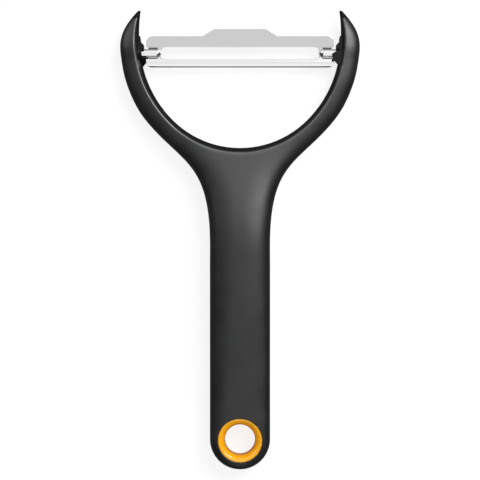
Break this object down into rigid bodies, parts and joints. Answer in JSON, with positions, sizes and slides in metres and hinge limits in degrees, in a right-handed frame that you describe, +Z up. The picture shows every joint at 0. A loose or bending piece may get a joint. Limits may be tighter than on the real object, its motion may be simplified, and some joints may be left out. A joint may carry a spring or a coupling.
{
  "type": "vegetable peeler",
  "caption": "Wide fork-shaped vegetable peeler with a swivelling slotted blade, claw tips for removing eyes, a moulded handle and a funnel-shaped hanging ring at its end.",
  "frame": {"origin": "middle of the peeler's length and width, on the surface that it lies on", "axes": "+Y along the handle towards the blade, +Z up out of the front face, +X to the right as seen from the front"},
  "size_m": [0.0958, 0.183, 0.0158],
  "materials": {
    "core_plastic": "satin moulded",
    "grip_skin": "fine matte, soft to the touch",
    "ring_plastic": "smooth moulded",
    "blade_steel": "rolled and lightly brushed"
  },
  "bodies": {
    "handle": {"fork_frame": "core_plastic", "grip_shell": "grip_skin", "hanging_ring": "ring_plastic"},
    "blade": {"blade": "blade_steel"}
  },
  "joints": [
    {"name": "blade_swivel", "type": "hinge", "parent": "handle", "child": "blade", "pos_m": [0, 0.0745, 0.0055], "axis": [1, 0, 0], "range_deg": [-30, 30]}
  ]
}
